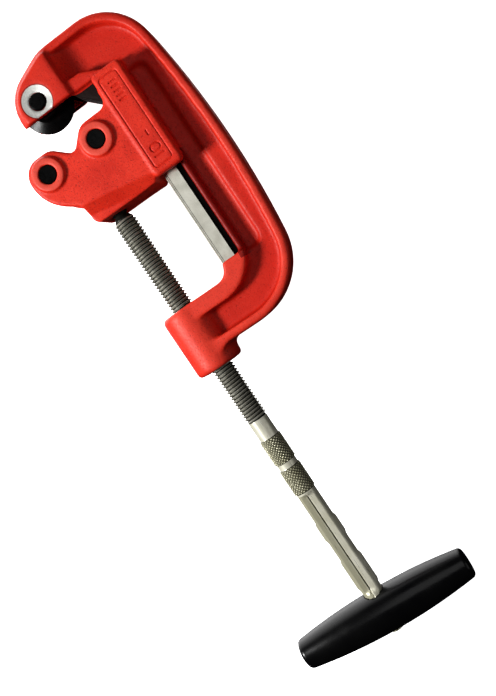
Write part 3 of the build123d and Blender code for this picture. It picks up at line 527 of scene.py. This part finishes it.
def moulded_plastic(name):
    """Black moulded plastic, semi-gloss, with a faint grain and handling marks."""
    material, tree, shader = new_material(name)
    point = millimetres(tree)
    smudges = noise(tree, point, 0.06, 5.0)
    grain = noise(tree, point, 2.5, 2.0, 0.6)
    scuffs = noise(tree, millimetres(tree, stretch=(1, 0.1, 1)), 1.2, 3.0, 0.7)
    colour = blend_colour(tree, span(tree, smudges, 0.35, 0.7), *PLASTIC)
    colour = blend_colour(tree, span(tree, scuffs, 0.68, 0.8, 0.0, 0.35), colour, SCUFF)
    rough = span(tree, smudges, 0.3, 0.7, 0.20, 0.30)
    normal = bump(tree, grain, 0.03, 0.4)
    connect(tree, shader, Base_Color=colour, Roughness=rough, Normal=normal)
    connect(tree, shader, IOR=1.5, Specular_IOR_Level=0.30)
    return material


# ---- mesh pieces --------------------------------------------------------------


def new_object(name, mesh, material):
    """A mesh object in the scene with one material."""
    made = bpy.data.objects.new(name, mesh)
    bpy.context.scene.collection.objects.link(made)
    made.data.materials.clear()
    made.data.materials.append(material)
    return made


def evaluated_mesh(source):
    """The object's mesh with its modifiers applied."""
    graph = bpy.context.evaluated_depsgraph_get()
    return bpy.data.meshes.new_from_object(source.evaluated_get(graph))


def cast_skin(node, name, voxel, passes, material):
    """A copy of a CAD node with the soft inner and outer corners of a casting."""
    rough = new_object(name + "_rough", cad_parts[node].data.copy(), material)
    remesh = rough.modifiers.new("remesh", "REMESH")
    remesh.mode = "VOXEL"
    remesh.voxel_size = voxel * MM
    remesh.use_smooth_shade = True
    smooth = rough.modifiers.new("smooth", "SMOOTH")
    smooth.factor = SMOOTHING
    smooth.iterations = passes
    mesh = evaluated_mesh(rough)
    bpy.data.objects.remove(rough)
    mesh.name = name
    return new_object(name, mesh, material)


def segment_distance(x, y, start, end):
    """How far each point is from a straight stroke."""
    run = np.array(end) - np.array(start)
    share = ((x - start[0]) * run[0] + (y - start[1]) * run[1]) / (run @ run)
    share = np.clip(share, 0, 1)
    return np.hypot(x - start[0] - share * run[0], y - start[1] - share * run[1])


def rounded_box_distance(x, y, centre, half, corner):
    """How far each point is from the outline of a rectangle with round corners."""
    over_x = np.abs(x - centre[0]) - half[0] + corner
    over_y = np.abs(y - centre[1]) - half[1] + corner
    outside = np.hypot(np.maximum(over_x, 0), np.maximum(over_y, 0))
    inside = np.minimum(np.maximum(over_x, over_y), 0)
    return np.abs(outside + inside - corner)


def engrave_panel(housing):
    """Cut the border and the plain marks into the front plate, on a finer mesh than the rest."""
    work = bmesh.new()
    work.from_mesh(housing.data)
    low = at(PANEL_LOW[0] - PANEL_MARGIN, PANEL_LOW[1] - PANEL_MARGIN, 0)
    high = at(PANEL_HIGH[0] + PANEL_MARGIN, PANEL_HIGH[1] + PANEL_MARGIN, 0)

    def over_plate(point):
        return low.x < point.x < high.x and low.y < point.y < high.y

    skin_z = max(v.co.z for v in work.verts if over_plate(v.co)) - PLATE_SKIN * MM
    plate = []
    for f in work.faces:
        centre = f.calc_center_median()
        if over_plate(centre) and centre.z > skin_z:
            plate.append(f)
    edges = list({e for f in plate for e in f.edges})
    bmesh.ops.subdivide_edges(work, edges=edges, cuts=2, use_grid_fill=True)
    verts = [v for v in work.verts if over_plate(v.co) and v.co.z > skin_z]
    points = (np.array([v.co for v in verts]) - np.array(BENCH)) / MM
    x, y = points[:, 0], points[:, 1]
    centre = [(a + b) / 2 for a, b in zip(PANEL_LOW, PANEL_HIGH)]
    half = [(b - a) / 2 for a, b in zip(PANEL_LOW, PANEL_HIGH)]
    away = rounded_box_distance(x, y, centre, half, PANEL_CORNER)
    away = np.minimum(away, rounded_box_distance(x, y, LOOP_MIDDLE, LOOP_HALF, PANEL_CORNER))
    for start, end in STROKES:
        away = np.minimum(away, segment_distance(x, y, start, end))
    depth = np.clip(PANEL_EDGE - away / PANEL_LINE, 0, 1)
    for v, share in zip(verts, depth * depth * (3 - 2 * depth)):
        v.co.z -= PANEL_DEPTH * MM * share
    work.to_mesh(housing.data)
    work.free()
    housing.data.shade_smooth()


def grid_mesh(name, rows, columns, row_shift):
    """A tube of quads from rows of points; the last column joins the first, row_shift rows on."""
    points = np.asarray(rows).reshape(-1, 3)
    count = len(rows)
    faces = []
    for i in range(count - 1):
        for j in range(columns):
            k = (j + 1) % columns
            shift = row_shift if k == 0 else 0
            if i + 1 + shift < count:
                faces.append((
                    i * columns + j,
                    (i + 1) * columns + j,
                    (i + 1 + shift) * columns + k,
                    (i + shift) * columns + k,
                ))
    mesh = bpy.data.meshes.new(name)
    mesh.from_pydata(points.tolist(), [], faces)
    return mesh


def close_tube(mesh, sharp_degrees):
    """Merge doubled points, cap the open ends and set the shading."""
    work = bmesh.new()
    work.from_mesh(mesh)
    bmesh.ops.remove_doubles(work, verts=work.verts, dist=MERGE_DISTANCE * MM)
    open_edges = [e for e in work.edges if e.is_boundary]
    bmesh.ops.holes_fill(work, edges=open_edges, sides=0)
    bmesh.ops.recalc_face_normals(work, faces=work.faces)
    work.to_mesh(mesh)
    work.free()
    mesh.shade_smooth()
    mesh.set_sharp_from_angle(angle=math.radians(sharp_degrees))


def tube_piece(name, rows, columns, sharp_degrees, material, row_shift=0):
    """A closed piece made of rings of points round the screw's axis."""
    mesh = grid_mesh(name, rows, columns, row_shift)
    close_tube(mesh, sharp_degrees)
    return new_object(name, mesh, material)


def round_points(x, radius, angle):
    """Points at the given distances from the screw's axis, in the row frame."""
    centre = at(0, 0, 0)
    x, radius, angle = np.broadcast_arrays(x, radius, angle)
    return np.stack([
        centre.x + x * MM,
        centre.y + radius * np.cos(angle) * MM,
        centre.z + radius * np.sin(angle) * MM,
    ], axis=-1)


def screw_thread(material):
    """The right-handed thread, as one sheet that follows the helix."""
    turns = math.ceil((THREAD_END - THREAD_START) / PITCH) + 1
    angle = np.arange(THREAD_COLUMNS) * TAU / THREAD_COLUMNS
    rows = []
    for turn in range(-1, turns):
        for share, radius in THREAD_PROFILE:
            x = THREAD_START + PITCH * (turn + share + angle / TAU)
            x = np.clip(x, THREAD_START, THREAD_END)
            ends = np.minimum(x - THREAD_START, THREAD_END - x) / RUN_OUT
            height = (radius - ROOT_RADIUS) * np.clip(ends, 0, 1)
            rows.append(round_points(x, ROOT_RADIUS + height, angle))
    one_turn = len(THREAD_PROFILE)
    return tube_piece("screw_thread", rows, THREAD_COLUMNS, THREAD_SHARP, material, one_turn)


def screw_nose(material):
    """The bearing end: nose, retaining groove and the cone that runs up to the thread."""
    angle = np.arange(NOSE_COLUMNS) * TAU / NOSE_COLUMNS
    rows = [round_points(x, radius, angle) for x, radius in NOSE_PROFILE]
    return tube_piece("screw_nose", rows, NOSE_COLUMNS, NOSE_SHARP, material)


def ramp(x, low, high, edge):
    """1 from low to high, falling smoothly to 0 over edge on both sides."""
    share = np.clip(np.minimum(x - low, high - x) / edge + 1, 0, 1)
    return share * share * (3 - 2 * share)


def shank_stations():
    """Where the shank's rings lie: close together in the knurls, far apart elsewhere."""
    knurl_step = KNURL_PITCH / KNURL_STEPS
    marks = [THREAD_END - OVERLAP, THREAD_END]
    x = THREAD_END + SHANK_STEP
    while x < TENON_X:
        marks.append(x)
        in_band = any(low - BAND_BEFORE <= x <= high + BAND_AFTER for low, high in KNURL_BANDS)
        x += knurl_step if in_band else SHANK_STEP
    return marks + [TENON_X]


def shank_radius(x, angle):
    """The shank's radius at one station for all the angles round it."""
    radius = np.full_like(angle, SHANK_RADIUS)
    for low, high in KNURL_BANDS:
        band = ramp(x, low + BAND_EDGE, high - BAND_EDGE, BAND_EDGE)
        turn = angle * KNURL_COUNT / TAU
        along = (x - low) / KNURL_PITCH
        left = 1 - np.abs(2 * np.mod(turn + along, 1) - 1)
        right = 1 - np.abs(2 * np.mod(turn - along, 1) - 1)
        pyramid = np.minimum(np.minimum(left, right) / KNURL_SLOPE, 1)
        top = KNURL_RADIUS - KNURL_DEPTH * (1 - pyramid)
        radius += band * (top - SHANK_RADIUS)
    for low, high in EAR_ZONES:
        radius += EAR_HEIGHT * ramp(x, low, high, EAR_EDGE) * np.abs(np.cos(angle)) ** EAR_POWER
    steepness = np.abs(np.sin(angle))
    flat = np.maximum(radius * steepness - FLAT_HALF, 0)
    radius -= flat * ramp(x, *FLAT_X, PRESSED_EDGE) / np.maximum(steepness, LEAST_STEEPNESS)
    seam = np.clip(1 - np.abs(angle - TAU / 4) * SHANK_RADIUS / SEAM_HALF, 0, 1)
    seam_run = ramp(x, *SEAM_X, PRESSED_EDGE)
    return radius - SEAM_DEPTH * seam_run * np.minimum(seam * SEAM_DRAFT, 1)


def screw_shank(material):
    """The plated shank with its knurls, ears, seam, tenon and riveted end."""
    angle = np.arange(SHANK_COLUMNS) * TAU / SHANK_COLUMNS
    rows = [round_points(x, shank_radius(x, angle), angle) for x in shank_stations()]
    rows += [round_points(x, radius, angle) for x, radius in TENON_PROFILE]
    return tube_piece("screw_shank", rows, SHANK_COLUMNS, SHANK_SHARP, material)


def add_parting_line(grip):
    """A faint raised line where the two halves of the handle's mould met."""
    axis = middle("handle_grip")
    for v in grip.data.vertices:
        height = abs(v.co.z - axis.z) / MM
        if height < PARTING_HALF:
            rise = PARTING_RISE * (1 - (height / PARTING_HALF) ** 2)
            v.co.x += math.copysign(rise * MM, v.co.x - axis.x)
    grip.data.update()


# ---- build --------------------------------------------------------------------


def build_pieces():
    """Make the skins and the screw, and dress the CAD nodes that stay."""
    frame_paint = painted_casting("frame_paint", is_frame=True)
    housing_paint = painted_casting("housing_paint", is_frame=False)
    bright = ground_steel("rail_steel", RAIL_STEEL, along=0, roughness=0.46, dark_above=RAIL_HEAD_Y)
    dull = ground_steel("hidden_steel", HIDDEN_STEEL, along=2, roughness=0.42)
    dark = screw_steel("thread_steel")
    zinc = zinc_plate("shank_zinc")
    black = black_oxide("black_oxide")
    plastic = moulded_plastic("handle_plastic")

    casting = cast_skin("frame", "frame_casting", FRAME_VOXEL, FRAME_PASSES, frame_paint)
    housing = cast_skin("roller_housing", "housing_casting", HOUSING_VOXEL, HOUSING_PASSES, housing_paint)
    engrave_panel(housing)
    grip = cast_skin("handle_grip", "handle_barrel", GRIP_VOXEL, GRIP_PASSES, plastic)
    add_parting_line(grip)
    thread = screw_thread(dark)
    nose = screw_nose(dark)
    shank = screw_shank(zinc)
    for piece, node, body, slot in (
        (casting, "frame", "frame", "red_paint"),
        (housing, "roller_housing", "roller_housing", "red_paint"),
        (grip, "handle_grip", "feed_screw", "black_plastic"),
        (thread, "feed_screw", "feed_screw", "thread_steel"),
        (nose, "feed_screw", "feed_screw", "thread_steel"),
        (shank, "feed_screw", "feed_screw", "plated_steel"),
    ):
        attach(piece, body)
        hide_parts(node)

    dress = {
        "guide_rail": bright, "rail_screws": black, "feed_nut": dull, "cutter_wheel": black,
        "cutter_wheel_pin": black, "cutter_pin_ring": dull, "upper_roller": black, "lower_roller": black,
        "upper_roller_pin": black, "lower_roller_pin": black, "roller_pin_rings": dull, "thrust_ball": dull,
        "screw_retainers": dull, "handle_insert": dull, "handle_cross_pin": dull, "handle_washer": zinc,
    }
    for node, material in dress.items():
        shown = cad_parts[node]
        shown.data.materials.clear()
        shown.data.materials.append(material)


# ---- studio -------------------------------------------------------------------


def floor():
    """A plain pale floor that sweeps up into a round wall and glows, so that shadows on it stay faint."""
    columns = FLOOR_COLUMNS
    corners = [(0.0, 0.0, 0.0)]
    for radius, height in FLOOR_PROFILE:
        for column in range(columns):
            angle = TAU * column / columns
            corners.append((radius * math.cos(angle), radius * math.sin(angle), height))
    faces = [(0, 1 + column, 1 + (column + 1) % columns) for column in range(columns)]
    for row in range(len(FLOOR_PROFILE) - 1):
        for column in range(columns):
            here = 1 + row * columns + column
            beside = 1 + row * columns + (column + 1) % columns
            faces.append((here, here + columns, beside + columns, beside))
    mesh = bpy.data.meshes.new("floor")
    mesh.from_pydata(corners, [], faces)
    mesh.shade_smooth()
    material, tree, shader = new_material("floor_paper")
    connect(tree, shader, Base_Color=(0.9, 0.9, 0.9, 1.0), Roughness=0.9)
    connect(tree, shader, Emission_Color=(1.0, 1.0, 1.0, 1.0), Emission_Strength=FLOOR_GLOW)
    made = new_object("floor", mesh, material)
    made.visible_glossy = False
    made.visible_diffuse = False
    made.visible_shadow = False


def area_light(name, direction, reach, size, watts):
    """A square lamp that looks at the middle of the tool from reach metres away."""
    data = bpy.data.lights.new(name, "AREA")
    data.size = size
    data.energy = watts
    lamp = bpy.data.objects.new(name, data)
    bpy.context.scene.collection.objects.link(lamp)
    towards_lamp = Vector(direction).normalized()
    lamp.location = at(*TARGET_POINT) + towards_lamp * reach
    lamp.rotation_mode = "QUATERNION"
    lamp.rotation_quaternion = towards_lamp.to_track_quat("Z", "Y")


def studio_air():
    """Faint light from all round, with a soft bright patch low beyond the head, on the mouth's side."""
    world = bpy.data.worlds.new("studio")
    bpy.context.scene.world = world
    world.use_nodes = True
    tree = world.node_tree
    coords = add(tree, "TexCoord").outputs["Generated"]
    side = add(tree, "VectorMath", {0: coords, 1: AIR_DIRECTION}, operation="DOT_PRODUCT")
    strength = span(tree, side.outputs["Value"], *AIR_SPAN, *AIR_STRENGTH)
    background = tree.nodes["Background"]
    background.inputs["Color"].default_value = (1, 1, 1, 1)
    tree.links.new(strength, background.inputs["Strength"])


def camera():
    """The camera, above the tool and turned so that the handle points down and right."""
    data = bpy.data.cameras.new("camera")
    data.lens = CAMERA_LENS
    made = bpy.data.objects.new("camera", data)
    bpy.context.scene.collection.objects.link(made)
    place = at(*CAMERA_POINT)
    ahead = (at(*TARGET_POINT) - place).normalized()
    right = ahead.cross(Vector((0, 1, 0))).normalized()
    up = right.cross(ahead)
    c, s = math.cos(CAMERA_ROLL), math.sin(CAMERA_ROLL)
    turned_right = right * c + up * s
    turned_up = up * c - right * s
    turn = Matrix((turned_right, turned_up, -ahead)).transposed()
    made.matrix_world = Matrix.Translation(place) @ turn.to_4x4()
    bpy.context.scene.camera = made


build_pieces()
floor()
for lamp_row in LAMPS:
    area_light(*lamp_row)
studio_air()
camera()
bpy.context.scene.view_settings.view_transform = "Standard"
bpy.context.scene.view_settings.look = "Medium High Contrast"
